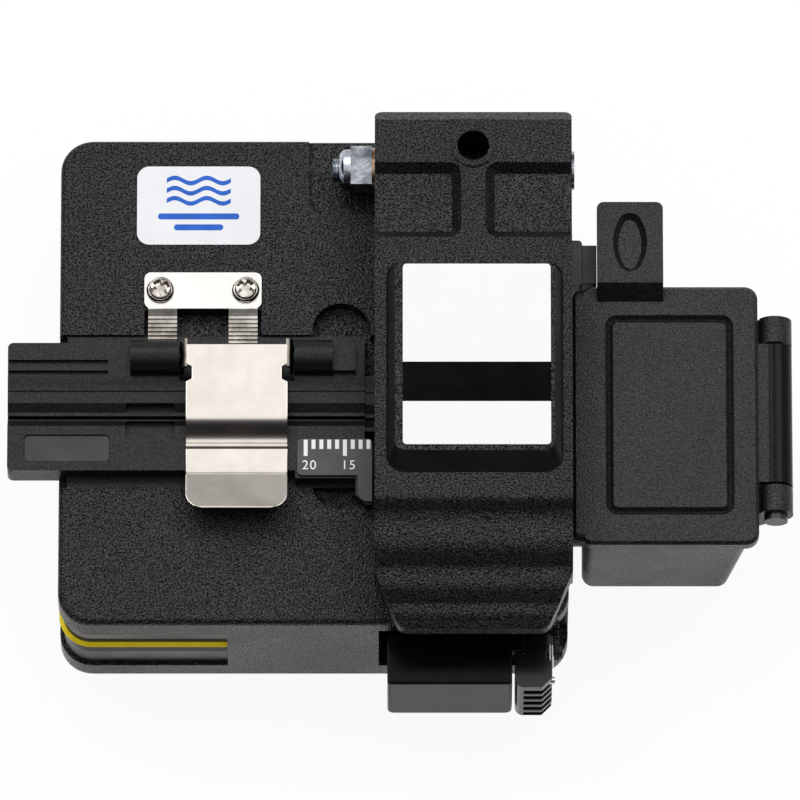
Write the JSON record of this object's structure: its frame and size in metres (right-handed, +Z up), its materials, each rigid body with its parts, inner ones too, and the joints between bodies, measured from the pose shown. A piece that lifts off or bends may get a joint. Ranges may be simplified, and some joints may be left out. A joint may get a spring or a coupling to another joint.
{
  "type": "optical fibre cleaver",
  "caption": "Hand fibre cleaver: square cast base, hinged pressing lever, sliding blade carriage, lock latch, slotted fibre holder with spring clip and side waste box with hinged lid.",
  "frame": {"origin": "centre of the base footprint on the underside of the rubber pad", "axes": "+X along the fibre towards the waste box, +Y towards the lever hinge, +Z up"},
  "size_m": [0.1002, 0.0728, 0.0338],
  "materials": {
    "grained_paint": "leather-grain powder paint, satin",
    "plain_paint": "smooth satin",
    "gloss_paint": "smooth, glossy",
    "gloss_trim": "smooth, glossy",
    "yellow_stripe": "saturated yellow, satin",
    "grained_plastic": "fine moulded grain",
    "plain_plastic": "smooth satin",
    "gloss_plastic": "glossy",
    "matte_anodised": "matte black coat",
    "scale_grey": "dark grey, satin, white marks",
    "nickel": "bright nickel plate, lightly brushed",
    "zinc": "bluish zinc plate",
    "bright_steel": "ground",
    "dark_steel": "blackened",
    "blade_steel": "lapped, bright",
    "bright_aluminium": "satin",
    "brass": "satin",
    "rubber": "matte",
    "label_white": "printed film, satin"
  },
  "bodies": {
    "base": {"base_housing": "grained_paint", "bottom_cover": "plain_paint", "bottom_cover_screws": "bright_steel", "rubber_pad": "rubber", "side_trim": "gloss_trim", "yellow_stripe": "yellow_stripe", "gloss_band": "gloss_trim", "hold_down_spring": "nickel", "hold_down_screws": "nickel", "sticker": "label_white", "lower_clamp_left": "bright_steel", "lower_clamp_right": "bright_steel", "lower_clamp_pads": "rubber", "slide_rails": "bright_steel", "carriage_spring": "bright_steel", "spring_guide_pin": "bright_steel", "hinge_bolt": "zinc", "hinge_nut": "zinc", "hinge_washer": "zinc", "latch_pin": "dark_steel", "latch_spring": "bright_steel", "waste_tray": "grained_plastic", "waste_tray_screws": "bright_steel", "waste_bracket": "plain_plastic", "lid_hinge_pin": "dark_steel"},
    "lever": {"lever_body": "grained_paint", "label_plate": "label_white", "upper_clamp_left": "bright_steel", "upper_clamp_right": "bright_steel", "upper_clamp_pads": "rubber", "anvil_housing": "dark_steel", "anvil_spring": "bright_steel"},
    "anvil": {"anvil": "bright_steel"},
    "carriage": {"push_block": "gloss_paint", "blade_slide": "bright_aluminium", "slide_bearings": "bright_steel", "blade_axle": "bright_steel"},
    "blade": {"blade_wheel": "blade_steel", "blade_hub": "brass"},
    "latch": {"lock_latch": "gloss_plastic"},
    "holder": {"holder_body": "matte_anodised", "scale_plate": "scale_grey", "clip_pin": "dark_steel", "clip_spring": "bright_steel"},
    "clip": {"clip_plate": "nickel", "clip_pad": "rubber"},
    "lid": {"waste_lid": "grained_plastic"}
  },
  "joints": [
    {"name": "lever_hinge", "type": "hinge", "parent": "base", "child": "lever", "pos_m": [0.02038, 0.02745, 0.0237], "axis": [-1, 0, 0], "range_deg": [0, 65]},
    {"name": "anvil_slide", "type": "slide", "parent": "lever", "child": "anvil", "axis": [0, 0, 1], "range_m": [0, 0.0005], "stiffness_N_per_m": 500, "springref_m": -0.001, "deforming": ["anvil_spring"]},
    {"name": "carriage_slide", "type": "slide", "parent": "base", "child": "carriage", "axis": [0, 1, 0], "range_m": [0, 0.0076], "stiffness_N_per_m": 150, "springref_m": -0.005, "deforming": ["carriage_spring"]},
    {"name": "blade_index", "type": "hinge", "parent": "carriage", "child": "blade", "pos_m": [0.019, -0.0093, 0.0123], "axis": [1, 0, 0], "continuous": true},
    {"name": "latch_hinge", "type": "hinge", "parent": "base", "child": "latch", "pos_m": [0.0284, -0.03445, 0.0145], "axis": [1, 0, 0], "range_deg": [0, 10], "stiffness_Nm_per_rad": 0.02, "springref_deg": -5.73, "deforming": ["latch_spring"]},
    {"name": "holder_slide", "type": "slide", "parent": "base", "child": "holder", "axis": [-1, 0, 0], "range_m": [0, 0.01]},
    {"name": "clip_hinge", "type": "hinge", "parent": "holder", "child": "clip", "pos_m": [-0.0098, 0.0022, 0.02295], "axis": [-1, 0, 0], "range_deg": [0, 100], "stiffness_Nm_per_rad": 0.01, "springref_deg": -17.19, "deforming": ["clip_spring"]},
    {"name": "lid_hinge", "type": "hinge", "parent": "base", "child": "lid", "pos_m": [0.0589, -0.00525, 0.0208], "axis": [0, 1, 0], "range_deg": [0, 110]}
  ]
}
